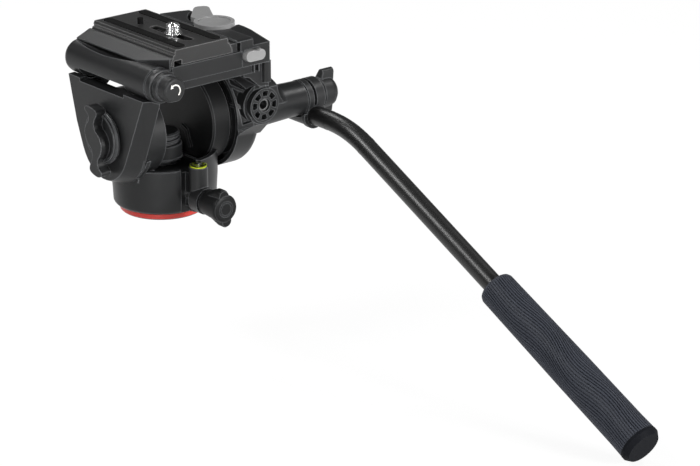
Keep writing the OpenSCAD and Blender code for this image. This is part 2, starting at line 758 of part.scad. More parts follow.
module hub_insert() {
  color("silver") along_y(hub_x, -hub_rear + hub_recess, hub_z) difference() {
    cylinder(r = hub_insert_radius(), h = 13 - hub_recess);
    translate([0, 0, -cut]) cylinder(r = hub_thread_radius, h = 10 + cut);
  }
}

module platform() {
  color("dimgray") difference() {
    union() {
      translate([-platform_left, -platform_rear, platform_bottom])
        cube([platform_left + housing_left, platform_rear + platform_front, platform_thick]);
      translate([-carrier_left, -carrier_rear, carrier_bottom])
        cube([carrier_left + carrier_right, carrier_rear + carrier_front, platform_bottom - carrier_bottom]);
      difference() {
        end_profile(rail_front, rail_front + rail_rear) polygon([[1 - platform_left, platform_bottom],
          [-platform_left - 7, platform_bottom + 8], [-rail_outer, platform_top - 1.5],
            [-rail_outer, platform_top + 1.7],
          [-rail_inner_top - 1.5, rail_top], [-rail_inner_top, rail_top],
          [-plate_foot_width / 2 - run_gap, plate_shoulder], [-plate_foot_width / 2 - run_gap, platform_top],
          [1 - platform_left, platform_top]]);
        along_y(-side_bar_offset, -70, side_bar_height) cylinder(r = side_bar_radius, h = 140);
        translate([-rail_outer - 0.5, -rail_taper, platform_bottom]) rotate(-68) translate([0, -20, 0])
          cube([40, 20, 30]);
      }
    }
    platform_screw_places() {
      cylinder(r = 2 + fit_gap, h = 40);
      translate([0, 0, platform_top - carrier_bottom + 6 - 4.4]) cylinder(r = 3.8, h = 10);
    }
    translate([lever_x, lever_y, carrier_bottom - cut]) cylinder(r = lever_pin_radius - 1 + fit_gap, h = 10);
  }
}

module side_bar() {
  color("dimgray") difference() {
    along_y(-side_bar_offset, -platform_rear - 2, side_bar_height) rotate_extrude() polygon([[0, 0],
      [side_bar_radius - 1.6, 0], [side_bar_radius - 0.6, 0.5], [side_bar_radius, 1.6], [side_bar_radius, 5],
      [side_bar_radius - 0.8, 5.3], [side_bar_radius - 0.8, 6.3], [side_bar_radius, 6.6],
        [side_bar_radius, 96],
      [side_bar_radius - 0.6, 98.8], [side_bar_radius - 2.2, 101], [side_bar_radius - 5, 102.6], [0, 103.4]]);
    translate([-platform_left, -80, tilt_height]) cube([20, 160, 90]);
    along_y(-side_bar_offset, -80, side_bar_height) cylinder(r = lock_shaft_radius + fit_gap, h = 120);
    translate([-side_bar_offset - 20, -window_rear, tilt_height]) cube([28,
      window_rear + window_front + 2.5, bar_flat - tilt_height]);
    bar_scoop();
  }
}

module bar_scoop() {
  length = 76;
  depth = 5;
  along_y(-side_bar_offset - 2, -27, side_bar_height + side_bar_radius - 0.6) rotate_extrude()
    polygon([for (i = [0:16]) [depth * (1 - pow(i / 8 - 1, 2)), length * i / 16]]);
}

module platform_screws() {
  color("silver") platform_screw_places() difference() {
    union() {
      translate([0, 0, 1]) cylinder(r = 2, h = platform_top - carrier_bottom + 0.6);
      translate([0, 0, platform_top - carrier_bottom + 1.6]) cylinder(r = 3.5, h = 3.6);
    }
    translate([0, 0, platform_top - carrier_bottom + 3.2]) cylinder(r = 1.7, h = 5, $fn = 6);
  }
}

module slide_lock_knob() {
  front = -platform_rear - 2 - run_gap;
  color("dimgray") difference() {
    along_y(-side_bar_offset, front - slide_knob_length, side_bar_height) rotate_extrude() polygon([[0, 0],
      [slide_knob_radius - 1.6, 0], [slide_knob_radius - 0.7, 0.4], [slide_knob_radius - 0.2, 1],
      [slide_knob_radius, 2], [slide_knob_radius, slide_knob_length - 4.4],
        [slide_knob_radius + 0.8, slide_knob_length - 4],
      [slide_knob_radius + 1.2, slide_knob_length - 1], [slide_knob_radius + 1.2, slide_knob_length],
        [0, slide_knob_length]]);
    translate([-side_bar_offset - 14, -80, side_bar_height - 20 - slide_knob_radius + 1.4])
      cube([28, 80, 20]);
    along_y(-side_bar_offset, front - 8, side_bar_height) cylinder(r = lock_shaft_radius, h = 20);
  }
}

module slide_lock_shaft() {
  color("silver") along_y(-side_bar_offset, -platform_rear - 2 - run_gap - 8, side_bar_height)
    cylinder(r = lock_shaft_radius, h = 92);
}

module clamp_housing() {
  color("dimgray") difference() {
    end_profile(housing_front, housing_front + platform_rear) polygon([[housing_left, platform_bottom],
      [housing_right, platform_bottom], [housing_right, housing_top - 1.6],
        [housing_right - 1.2, housing_top - 0.4],
      [lever_x + 2, housing_top], [jaw_outer - 0.5, housing_top], [jaw_outer - 1.2, housing_top - 0.8],
        [jaw_outer - 1.2, jaw_top + run_gap],
      [jaw_outer + 1.6, jaw_top + run_gap], [jaw_outer + 1.6, platform_top], [housing_left, platform_top]]);
    translate([lever_x, lever_y, lever_bottom - run_gap]) cylinder(r = lever_boss_radius + 0.5, h = 20);
    translate([lever_x, lever_y, lever_disc_bottom - run_gap]) cylinder(r = lever_radius + 0.5, h = 20);
    translate([lever_x, lever_y, platform_bottom - cut]) cylinder(r = lever_pin_radius, h = 40);
    along_y(button_x, -platform_rear - cut, button_z)
      linear_extrude(platform_rear - button_inner + button_travel + 0.5 + cut)
      slot_shape(button_width + 2 * run_gap, button_height + 2 * run_gap);
    translate([jaw_outer - 6, -platform_rear - cut, housing_top - 1]) rotate([20, 0, 0]) cube([40, 4, 8]);
    translate([housing_step, -platform_rear - cut, housing_top - 5.4]) rotate([housing_slope, 0, 0])
      cube([20, 33, 10]);
    translate([0, 0, housing_low_top]) linear_extrude(10) polygon([[lever_x - 8.2, lever_y + 9],
      [lever_x - 7.8, lever_y + 19], [lever_x - 5, lever_y + 24], [lever_x - 2.8, lever_y + 27.5],
      [lever_x + 3.6, lever_y + 34.5], [lever_x + 8.5, lever_y + 36.5], [lever_x + 9, housing_front - 8],
      [jaw_outer - 2, housing_front - 2.4], [jaw_outer - 2, housing_front + 1],
        [housing_right + 1, housing_front + 1],
      [housing_right + 1, lever_y - 10], [housing_right - 7, lever_y - 10]]);
  }
}

module clamp_jaw() {
  color("gray") end_profile(jaw_front, jaw_front + platform_rear - 1.6)
    polygon([[plate_foot_width / 2 + run_gap, platform_top + fit_gap],
    [plate_foot_width / 2 + run_gap, plate_shoulder], [rail_inner_top, rail_top],
      [rail_inner_top + 1, jaw_top],
    [jaw_outer, jaw_top], [jaw_outer, platform_top + fit_gap]]);
}

module lever_pivot() {
  color("silver") translate([lever_x, lever_y, 0]) {
    translate([0, 0, platform_bottom]) cylinder(r = lever_pin_radius, h = lever_top - 4.4 - platform_bottom);
    translate([0, 0, carrier_bottom - 7.5]) cylinder(r = lever_pin_radius - 1,
      h = platform_bottom - carrier_bottom + 7.5);
  }
}

module clamp_lever() {
  color("darkgray") translate([lever_x, lever_y, 0]) difference() {
    union() {
      translate([0, 0, lever_bottom]) cylinder(r = lever_boss_radius, h = lever_top - 1.5 - lever_bottom);
      translate([0, 0, lever_disc_bottom]) cylinder(r = lever_radius, h = lever_top - lever_disc_bottom);
      rotate(lever_turn) translate([0, 0, housing_low_top + 0.5]) linear_extrude(lever_top -
        housing_low_top - 0.5)
        polygon([[-13.6, 14], [-7, lever_reach + 1], [-5, lever_reach + 4.6], [-2.6, lever_reach + 5.6],
          [1.6, lever_reach + 5.6], [3.8, lever_reach + 4.4], [4.6, lever_reach + 1.6], [2, 8], [-8, 4]]);
    }
    translate([0, 0, lever_top - 0.9]) cylinder(r = lever_radius - 2.6, h = 2);
    translate([0, 0, lever_bottom - cut]) cylinder(r = lever_pin_radius + fit_gap,
      h = lever_top - 4 - lever_bottom + cut);
  }
}

module release_button() {
  color("silver") along_y(button_x, -button_rear, button_z) linear_extrude(button_rear - button_inner)
    difference() {
    slot_shape(button_width, button_height);
    translate([2, -button_height / 2 - 5.2]) circle(r = 6);
  }
}

module camera_plate() {
  color("gray") difference() {
    end_profile(plate_front, plate_length) polygon([[-plate_foot_width / 2, plate_bottom],
      [plate_foot_width / 2, plate_bottom],
      [plate_foot_width / 2, plate_shoulder], [plate_top_width / 2, plate_top],
        [-plate_top_width / 2, plate_top],
      [-plate_foot_width / 2, plate_shoulder]]);
    translate([0, (slot_front + slot_rear) / 2, plate_bottom - cut]) rotate(90)
      linear_extrude(plate_height + 2 * cut) slot_shape(slot_front - slot_rear, slot_width);
    translate([0, (slot_front + slot_rear) / 2, plate_bottom - cut]) rotate(90)
      linear_extrude(plate_height - 3 + cut) slot_shape(slot_front - slot_rear + 8, slot_width + 8);
    translate([pin_x, pin_y, plate_bottom - cut]) cylinder(r = 2.2 + fit_gap, h = plate_height + 2 * cut);
    translate([pin_x, pin_y, plate_bottom - cut]) cylinder(r = 3.4, h = plate_height - 2.2 + cut);
    translate([-23.5, -plate_rear - cut, plate_bottom - cut]) cube([6.3, plate_length + 2 * cut, 3.5 + cut]);
    for (side = [-1, 1]) translate([side * (plate_top_width / 2 + 4.6)
      - 4, -plate_rear - cut, plate_top - 3.8])
      cube([8, plate_length + 2 * cut, 1.5]);
    for (x = [strip_left, strip_right]) translate([x, (plate_front - plate_rear)
      / 2, plate_top - strip_depth]) rotate(90)
      linear_extrude(5) slot_shape(plate_length - 2 * strip_end, strip_width);
  }
}

module grip_strips() {
  color("black") for (x = [strip_left, strip_right]) translate([x, (plate_front - plate_rear)
    / 2, plate_top - strip_depth])
    rotate(90) linear_extrude(strip_depth + strip_proud) slot_shape(plate_length - 2 * strip_end,
      strip_width);
}

module screw_carrier() {
  color("silver") translate([0, screw_y, 0]) difference() {
    union() {
      translate([0, 0, plate_top + 0.1]) cylinder(r = 6.2, h = 1);
      translate([0, 0, plate_top - 3.2]) cylinder(r = slot_width / 2 - 0.1, h = 3.4);
    }
    translate([0, 0, plate_top - 4]) cylinder(r = screw_neck_radius + fit_gap, h = 8);
  }
}

module camera_screw() {
  color("silver") translate([0, screw_y, 0]) {
    translate([0, 0, plate_top + 1.3]) cylinder(r = camera_thread_radius, h = camera_thread_length - 1.3);
    translate([0, 0, plate_bottom + 3]) cylinder(r = screw_neck_radius, h = plate_height - 1.7);
    translate([0, 0, plate_bottom + 0.5]) cylinder(r = 6.6, h = 3);
  }
}

module index_pin() {
  color("black") translate([pin_x, pin_y, 0]) {
    translate([0, 0, plate_top - 4]) cylinder(r = 2.2, h = 4);
    translate([0, 0, plate_top - 0.4]) cylinder(r = 2, h = 4.4);
    translate([0, 0, plate_top - 4.4]) cylinder(r = 3, h = 1.6);
  }
}

module joint_bolt() {
  color("silver") along_x(arm_tube_end - 14, -arm_axis_back, arm_axis_height)
    cylinder(r = bolt_radius, h = wing_start + 8 - arm_tube_end + 14);
}

module rosette_ring() {
  color("black") along_x(arm_tube_end, -arm_axis_back, arm_axis_height)
    tube(rosette_radius, bolt_radius, rosette_end - arm_tube_end);
}

module bar_clamp() {
  color("dimgray") difference() {
    union() {
      along_x(clamp_start, -arm_axis_back, arm_axis_height) cylinder(r = clamp_radius,
        h = clamp_end - clamp_start);
      along_x(clamp_start, -arm_axis_back, arm_axis_height) cylinder(r = neck_radius,
        h = wing_start - run_gap - clamp_start);
      along_y(bar_x, -socket_rear, bar_z) cylinder(r = socket_radius, h = socket_rear - socket_front);
      along_y(bar_x, -socket_rear - 2.4, bar_z) cylinder(r = socket_radius + 0.9, h = 3.4);
    }
    along_x(arm_tube_end - 20, -arm_axis_back, arm_axis_height)
      cylinder(r = arm_tube_root + 0.6, h = clamp_start - arm_tube_end + 20);
    intersection() {
      along_x(bar_x - 2, -arm_axis_back, arm_axis_height) tube(clamp_radius + 2, clamp_radius - 2.4, 2.2);
      translate([bar_x - 5, -60, arm_axis_height - 4.5]) cube([10, 60, 40]);
    }
    along_x(arm_tube_end - 20, -arm_axis_back, arm_axis_height) cylinder(r = bolt_radius + fit_gap, h = 60);
    along_y(bar_x, -socket_rear - 20, bar_z) cylinder(r = bar_radius,
      h = socket_rear + 20 - socket_front - 2.5);
  }
}

module wing_knob() {
  color("dimgray") difference() {
    along_x(wing_start, -arm_axis_back, arm_axis_height) union() {
      rotate_extrude() polygon([[0, 0], [10.5, 0], [11.4, 1], [11.4, 8], [10.6, 11], [8.4, 13.4],
        [5, 14.5], [0, wing_length]]);
      for (side = [0, 180]) rotate(side) hull() {
        translate([7, 0, 1.5]) cylinder(r = 4.4, h = 10.6, $fn = 32);
        translate([14.4, 1, 3.6]) cylinder(r = 2.8, h = 9.6, $fn = 32);
      }
    }
    along_x(wing_start - 10, -arm_axis_back, arm_axis_height) cylinder(r = bolt_radius + fit_gap, h = 18.6);
  }
}

module bar_line(start) {
  translate([bar_x, -corner_back, bar_z]) rotate([bar_bend, 0, 0]) translate([0, -start, 0])
    rotate([90, 0, 0]) children();
}

module pan_bar() {
  tangent = bend_radius * tan(bar_bend / 2);
  color("black") {
    along_y(bar_x, 0.4 - corner_back + tangent, bar_z)
      cylinder(r = bar_radius, h = corner_back - 0.4 - tangent - socket_front - 2.5);
    along_y(bar_x, tangent - corner_back - 1, bar_z) cylinder(r = bar_radius + 0.1, h = 2);
    translate([bar_x, tangent - corner_back, bar_z - bend_radius]) rotate([0, -90, 0]) rotate(-0.2)
      rotate_extrude(angle = 0.4 - bar_bend) translate([bend_radius, 0]) circle(r = bar_radius);
    bar_line(tangent - 1) cylinder(r = bar_radius + 0.1, h = 2);
    bar_line(tangent + 0.4) cylinder(r = bar_radius, h = bar_reach + grip_length - 6.4 - tangent);
  }
}

module bar_grip() {
  flare = grip_thick_radius - grip_thin_radius;
  color("slategray") bar_line(bar_reach) difference() {
    rotate_extrude() polygon([[0, 0], [grip_thin_radius - 2.2, 0], [grip_thin_radius - 0.8, 0.7],
      [grip_thin_radius, 2.4], [grip_thin_radius, grip_length * 0.28],
      [grip_thin_radius + flare * 0.35, grip_length * 0.62], [grip_thick_radius - 0.4, grip_length * 0.92],
      [grip_thick_radius, grip_length - 3], [grip_thick_radius, grip_length - 1], [0, grip_length - 1]]);
    translate([0, 0, -cut]) cylinder(r = bar_radius, h = grip_length + 2 * cut);
  }
}

module grip_cap() {
  color("black") bar_line(bar_reach + grip_length - 1) rotate_extrude() polygon([[0, -5], [bar_radius, -5],
    [bar_radius, 0], [grip_thick_radius + 0.2, 0], [grip_thick_radius + 0.2, 2], [grip_thick_radius - 2, 5.4],
    [0, 5.4]]);
}

foot_plate();
foot_ring();
thread_insert();
foot_screws();
pan_spindle();
spindle_nut();
thrust_washer();
pan_body();
pan_bush();
pan_column();
pan_brake_shoe();
pan_lock_stem();
pan_lock_knob();
level_vial();
level_ring();
tilt_drum();
drum_cover();
drum_bush();
drum_seal();
drum_screws();
stator_discs();
tilt_rotor();
right_shaft();
left_axle();
left_bush();
tilt_lock_pad();
tilt_lock_knob();
left_arm();
right_arm();
bar_mount();
balance_spring();
spring_cover();
hub_insert();
platform();
side_bar();
platform_screws();
slide_lock_knob();
slide_lock_shaft();
clamp_housing();
clamp_jaw();
lever_pivot();
clamp_lever();
release_button();
camera_plate();
grip_strips();
screw_carrier();
camera_screw();
index_pin();
joint_bolt();
rosette_ring();
bar_clamp();
wing_knob();
pan_bar();
bar_grip();
grip_cap();
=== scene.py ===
"""Looks of a fluid video head: finishes, fine details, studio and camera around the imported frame."""
import json
import math

import bpy
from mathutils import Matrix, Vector


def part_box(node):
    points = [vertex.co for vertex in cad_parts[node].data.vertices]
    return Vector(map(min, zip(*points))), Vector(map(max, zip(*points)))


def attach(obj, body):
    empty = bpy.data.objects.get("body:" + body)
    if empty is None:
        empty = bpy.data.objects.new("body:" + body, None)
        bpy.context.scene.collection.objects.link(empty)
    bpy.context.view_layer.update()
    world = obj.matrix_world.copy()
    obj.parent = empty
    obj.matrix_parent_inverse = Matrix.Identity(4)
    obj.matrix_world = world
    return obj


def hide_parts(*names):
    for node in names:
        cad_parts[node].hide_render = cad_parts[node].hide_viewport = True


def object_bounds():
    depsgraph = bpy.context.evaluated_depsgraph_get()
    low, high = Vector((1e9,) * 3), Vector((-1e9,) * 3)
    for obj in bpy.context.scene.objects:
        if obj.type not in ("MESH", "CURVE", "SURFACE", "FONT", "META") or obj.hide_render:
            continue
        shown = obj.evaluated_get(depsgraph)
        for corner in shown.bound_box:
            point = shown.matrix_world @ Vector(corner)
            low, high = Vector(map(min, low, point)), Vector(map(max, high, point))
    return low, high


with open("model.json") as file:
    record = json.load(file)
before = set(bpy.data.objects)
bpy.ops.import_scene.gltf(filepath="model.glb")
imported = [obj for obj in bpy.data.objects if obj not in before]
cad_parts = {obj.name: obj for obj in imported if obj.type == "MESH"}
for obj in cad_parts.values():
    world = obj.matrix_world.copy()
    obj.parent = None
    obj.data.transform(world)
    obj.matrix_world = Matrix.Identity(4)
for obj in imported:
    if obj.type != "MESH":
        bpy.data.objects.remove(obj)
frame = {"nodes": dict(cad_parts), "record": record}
cad_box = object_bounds()
nodes = frame["nodes"]

MM = 0.001

# camera of the photograph, in metres and degrees
CAMERA_PLACE = (-1.1776, -1.6087, 0.7117)
CAMERA_TURN = (69.8, 0, -40)
CAMERA_LENS = 154.3

# point that the lamps face
LAMP_AIM = (0, 0, 0.06)

# depth of the floor below the lowest point of the object
FLOOR_GAP = 0.002
FLOOR_HALF = 6

# width of the lighter strip along an edge, painted edge highlight and wear, in metres
EDGE_REACH = 0.001


class Wire:
    """A socket of a node tree: arithmetic on it adds Math nodes."""

    def __init__(self, tree, socket):
        self.tree = tree
        self.socket = socket

    def math(self, operation, *values):
        return self.tree.add("ShaderNodeMath", {"operation": operation}, dict(enumerate(values)))

    def __add__(self, other):
        return self.math("ADD", self, other)

    def __radd__(self, other):
        return self.math("ADD", other, self)

    def __sub__(self, other):
        return self.math("SUBTRACT", self, other)

    def __rsub__(self, other):
        return self.math("SUBTRACT", other, self)

    def __mul__(self, other):
        return self.math("MULTIPLY", self, other)

    def __rmul__(self, other):
        return self.math("MULTIPLY", other, self)

    def above(self, level, soft):
        """0 below the level, 1 above it, with a soft step between."""
        sockets = {0: self, 1: level - soft, 2: level + soft}
        return self.tree.add("ShaderNodeMapRange", {"interpolation_type": "SMOOTHSTEP"}, sockets)


class Tree:
    """The nodes of a material or a world."""

    def __init__(self, owner):
        owner.use_nodes = True
        self.owner = owner
        self.nodes = owner.node_tree.nodes
        self.links = owner.node_tree.links
        self.nodes.clear()

    def add(self, kind, settings, sockets, out=0):
        """A node of that type: settings first, then the values or wires of its sockets."""
        node = self.nodes.new(kind)
        for name, value in settings.items():
            setattr(node, name, value)
        for name, value in sockets.items():
            self.join(node.inputs[name], value)
        return Wire(self, node.outputs[out]) if node.outputs else None

    def join(self, socket, value):
        if isinstance(value, Wire):
            self.links.new(value.socket, socket)
        else:
            socket.default_value = value

    def axis(self, coordinate, index):
        """One of the three numbers of a coordinate."""
        place = self.add("ShaderNodeTexCoord", {}, {}, out=coordinate)
        return self.add("ShaderNodeSeparateXYZ", {}, {0: place}, out=index)

    def blend(self, factor, first, second):
        """A mix of two colours."""
        sockets = {0: factor, 6: first, 7: second}
        return self.add("ShaderNodeMix", {"data_type": "RGBA"}, sockets, out=2)


class Finish(Tree):
    """One material: a Principled shader and the nodes that feed it."""

    def __init__(self, name, **constants):
        super().__init__(bpy.data.materials.new(name))
        self.shader = self.nodes.new("ShaderNodeBsdfPrincipled")
        self.output = self.nodes.new("ShaderNodeOutputMaterial")
        self.links.new(self.shader.outputs[0], self.output.inputs[0])
        self.feed(**constants)

    def feed(self, **sockets):
        """Sets or links the shader's own sockets; base_color stands for Base Color."""
        for name, value in sockets.items():
            words = name.replace("_", " ").title().replace("Ior", "IOR")
            self.join(self.shader.inputs[words], value)

    def noise(self, scale, detail=2, stretch=(1, 1, 1)):
        place = self.add("ShaderNodeTexCoord", {}, {}, out="Object")
        scaled = self.add("ShaderNodeMapping", {}, {"Vector": place, "Scale": stretch})
        return self.add("ShaderNodeTexNoise", {}, {"Vector": scaled, "Scale": scale, "Detail": detail})

    def edge(self, reach):
        """1 along the edges, 0 on plain faces."""
        rounded = self.add("ShaderNodeBevel", {"samples": 6}, {"Radius": reach})
        plain = self.add("ShaderNodeNewGeometry", {}, {}, out="Normal")
        sockets = {0: rounded, 1: plain}
        turn = self.add("ShaderNodeVectorMath", {"operation": "DOT_PRODUCT"}, sockets, out="Value")
        return (1 - turn).above(0.02, 0.02)

    def bump(self, height, depth):
        return self.add("ShaderNodeBump", {}, {"Height": height, "Distance": depth})


def colour(value, tint=(1, 1, 1)):
    """A grey of that linear value, tinted."""
    return (value * tint[0], value * tint[1], value * tint[2], 1)


def grained(name, base, tint, roughness, grain_scale, grain_depth, edge_wear_and_highlight=1.2, **constants):
    """A coated or moulded surface: fine grain, soft blotches, and edges lighter by that factor, which is
    painted edge highlight on the dark finishes and light wear on the others.
    """
    finish = Finish(name, **constants)
    blotch = finish.noise(32, 3)
    fine = finish.noise(grain_scale, 2)
    rubbed = finish.noise(150, 4).above(0.66, 0.08)
    tone = 0.75 * blotch + 0.25 * rubbed
    plain = finish.blend(tone, colour(base * 0.86, tint), colour(base * 1.2, tint))
    # painted edge highlight and wear: edges lighter by the factor, patchy with the blotches
    edge_wear_and_highlight_mask = finish.edge(EDGE_REACH) * (0.6 + 0.4 * blotch)
    finish.feed(
        base_color=finish.blend(edge_wear_and_highlight_mask, plain, colour(base * edge_wear_and_highlight, tint)),
        roughness=roughness - 0.05 + 0.1 * blotch - 0.05 * rubbed,
        normal=finish.bump(fine, grain_depth),
    )
    return finish.owner


def turned(name, base, tint, roughness, **constants):
    """Bare turned metal: fine streaks and small changes of gloss."""
    finish = Finish(name, metallic=1, **constants)
    streak = finish.noise(900, 2, (1, 1, 6))
    blotch = finish.noise(60, 3)
    finish.feed(
        base_color=finish.blend(blotch, colour(base * 0.88, tint), colour(base * 1.08, tint)),
        roughness=roughness - 0.04 + 0.08 * blotch + 0.06 * streak,
        normal=finish.bump(streak, 0.000008),
    )
    return finish.owner


def ribbed_rubber(name, base, pitch):
    """Dull rubber with fine cross ribs, as on a camera plate's strips."""
    finish = Finish(name, specular_ior_level=0.06)
    turn = finish.axis("Object", 1) * (2 * math.pi / pitch)
    rib = turn.math("SINE", turn)
    dust = finish.noise(70, 4)
    grain = finish.noise(2200, 2)
    finish.feed(
        base_color=finish.blend(dust, colour(base * 0.8), colour(base * 1.35)),
        roughness=0.62 + 0.12 * dust,
        normal=finish.bump(0.5 * rib + 0.4 * grain, 0.00012),
    )
    return finish.owner


def clear_window(name):
    """Clear moulded plastic with a faint change of gloss."""
    finish = Finish(name, transmission_weight=1, ior=1.49, base_color=(0.97, 1, 0.9, 1))
    finish.feed(roughness=0.02 + 0.03 * finish.noise(300, 2))
    return finish.owner


COOL = (0.97, 1, 1.04)
NEUTRAL = (1, 1, 1)
GRIP_BLUE = (0.86, 0.96, 1.26)
# the last number of a grained finish lightens its edges: 7 to 9 on the dark finishes is painted edge
# highlight, the default 1.2 is light wear
FINISHES = {
    "black_paint": grained("black_paint", 0.011, COOL, 0.38, 2600, 0.00003, 8, specular_ior_level=0.22),
    "black_plastic": grained("black_plastic", 0.011, COOL, 0.44, 3400, 0.00003, 8, specular_ior_level=0.22),
    "red": grained("red", 0.36, (1, 0.05, 0.03), 0.32, 2600, 0.00002, specular_ior_level=0.4),
    "steel": turned("steel", 0.55, NEUTRAL, 0.3),
    "chrome": turned("chrome", 0.8, NEUTRAL, 0.16),
    "nylon": grained("nylon", 0.62, (1, 0.98, 0.93), 0.5, 1800, 0.00003),
    "bronze": turned("bronze", 0.5, (1, 0.7, 0.35), 0.34),
    "vial": grained("vial", 0.55, (0.72, 0.85, 0.04), 0.2, 900, 0.00001),
    "rubber": ribbed_rubber("rubber", 0.004, 0.0012),
    "grey_plastic": grained("grey_plastic", 0.19, NEUTRAL, 0.42, 3000, 0.00004, specular_ior_level=0.3),
    "plate_metal": grained("plate_metal", 0.019, NEUTRAL, 0.32, 3000, 0.00003, 7, specular_ior_level=0.3),
    "bar_paint": grained("bar_paint", 0.007, NEUTRAL, 0.36, 900, 0.000001, specular_ior_level=0.4),
    "grip_rubber": grained("grip_rubber", 0.026, GRIP_BLUE, 0.6, 2500, 0.00006, specular_ior_level=0.2),
}
WINDOW = clear_window("level_window_clear")
# darker, less glossy copy of the black paint: painted shade on the tilt drum inside the cradle; the pan
# lock knob takes the same darker copy
PAINTED_SHADE_BLACK = grained("painted_shade_black", 0.006, COOL, 0.44, 2600, 0.00003, 9, specular_ior_level=0.12)
# nodes whose finish differs from the rest of their slot
OWN_FINISHES = {
    "grip_cap": grained("cap_rubber", 0.005, GRIP_BLUE, 0.6, 2500, 0.00004, specular_ior_level=0.05),
    "hub_insert": turned("dark_steel", 0.16, NEUTRAL, 0.36),
    # painted shade: the darker copy of the black paint
    "tilt_drum": PAINTED_SHADE_BLACK,
    "pan_lock_knob": PAINTED_SHADE_BLACK,
}

# rounds of the sharp edges of the nodes that show, in millimetres
EDGE_ROUNDS = {
    "pan_body": 0.7, "pan_column": 0.5, "pan_lock_knob": 0.5, "tilt_drum": 0.5, "tilt_lock_knob": 0.6,
    "left_arm": 0.6, "right_arm": 0.45, "bar_mount": 0.4, "platform": 0.5, "side_bar": 0.6,
    "slide_lock_knob": 0.4, "clamp_housing": 0.7, "clamp_jaw": 0.4, "clamp_lever": 0.6,
    "release_button": 0.6, "camera_plate": 0.35, "bar_clamp": 0.45, "wing_knob": 0.5, "grip_strips": 0.2,
    "screw_carrier": 0.15, "foot_ring": 0.2, "foot_plate": 0.3, "index_pin": 0.3, "hub_insert": 0.12,
    "grip_cap": 0.5,
}


def soften(node, width):
    """Rounds a CAD node's sharp edges by modifiers; its mesh stays."""
    weld = node.modifiers.new("weld", "WELD")
    weld.merge_threshold = 0.00001
    edge = node.modifiers.new("edge", "BEVEL")
    edge.width = width * MM
    edge.segments = 2
    edge.limit_method = "ANGLE"
    edge.angle_limit = math.radians(32)
    node.modifiers.new("shading", "WEIGHTED_NORMAL")


def dress_nodes():
    """Each CAD node takes the finish of its slot, and soft edges where it shows."""
    for part in frame["record"]["subparts"]:
        node = nodes[part["node"]]
        node.data.materials.clear()
        node.data.materials.append(OWN_FINISHES.get(part["node"], FINISHES[part["material_slot"]]))
        if part["node"] in EDGE_ROUNDS:
            soften(node, EDGE_ROUNDS[part["node"]])


def add_piece(name, points, faces, slot, body, replaced=(), material=None):
    """A mesh piece, in metres, that rides on a body, in the finish of its slot or one of its own."""
    mesh = bpy.data.meshes.new(name)
    mesh.from_pydata(points, [], faces)
    mesh.materials.append(material or FINISHES[slot])
    mesh.polygons.foreach_set("use_smooth", [True] * len(mesh.polygons))
    mesh.update()
    piece = bpy.data.objects.new(name, mesh)
    bpy.context.collection.objects.link(piece)
    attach(piece, body)
    for node in replaced:
        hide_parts(node)
    return piece


def ring_faces(rows, columns):
    """Quads between neighbouring rows of a closed ring grid, and a cap on both ends."""
    faces = []
    for row in range(rows - 1):
        for column in range(columns):
            after = (column + 1) % columns
            low, high = row * columns, (row + 1) * columns
            faces.append((low + column, low + after, high + after, high + column))
    faces.append(tuple(reversed(range(columns))))
    faces.append(tuple((rows - 1) * columns + column for column in range(columns)))
    return faces


def lathe(centre, profile, columns=64, shape=None):
    """Rings of points about a vertical axis: profile pairs are radius and height in millimetres."""
    points = []
    for radius, height in profile:
        for column in range(columns):
            angle = 2 * math.pi * column / columns
            size = shape(radius, height, angle) if shape else radius
            points.append((
                centre[0] + size * MM * math.cos(angle),
                centre[1] + size * MM * math.sin(angle),
                centre[2] + height * MM,
            ))
    return points, ring_faces(len(profile), columns)


def sharpen(piece, angle):
    """Keeps edges sharper than the angle crisp."""
    piece.modifiers.new("split", "EDGE_SPLIT").split_angle = math.radians(angle)


# camera screw: heights above its lowest point, radii and thread pitch in millimetres
SCREW_HEAD = (6.6, 3.0)
SCREW_NECK = (2.6, 12.0)
SCREW_THREAD = (4.76, 18.2)
SCREW_PITCH = 1.5875
SCREW_DEPTH = 0.86


def add_camera_screw():
    """Plain turned head, neck and a rolled thread with a chamfered tip."""
    low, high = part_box("camera_screw")
    centre = ((low[0] + high[0]) / 2, (low[1] + high[1]) / 2, low[2])
    head, head_top = SCREW_HEAD
    neck, neck_top = SCREW_NECK
    crest, tip = SCREW_THREAD

    def turned_radius(radius, height, angle):
        if height < neck_top + 0.3 or height > tip - 0.05 or radius < crest - 1:
            return radius
        phase = (height / SCREW_PITCH - angle / (2 * math.pi)) % 1
        flank = min(1, max(0, abs(phase - 0.5) * 2.6 - 0.15))
        return radius - SCREW_DEPTH * flank

    profile = [(0.5, 0), (head - 0.5, 0), (head, 0.5), (head, head_top - 0.4), (head - 0.4, head_top)]
    profile += [(neck, head_top), (neck, neck_top), (crest - 0.6, neck_top)]
    step = SCREW_PITCH / 10
    count = int((tip - 0.9 - neck_top - 0.5) / step)
    profile += [(crest, neck_top + 0.5 + step * row) for row in range(count + 1)]
    profile += [(crest - 0.9, tip), (1.9, tip), (1.7, tip - 0.6), (0.4, tip - 0.6)]
    points, faces = lathe(centre, profile, 72, turned_radius)
    screw = add_piece("camera_screw_turned", points, faces, "chrome", "screw", ["camera_screw"])
    sharpen(screw, 40)


# level: radii, and heights above the foot of the vial or its top, in millimetres
LEVEL_RADIUS = 5.9
LEVEL_BUBBLE = (1.9, 0.4)
LEVEL_SHIFT = (0.7, 0.5)
LEVEL_CIRCLE = (2.8, 0.13)


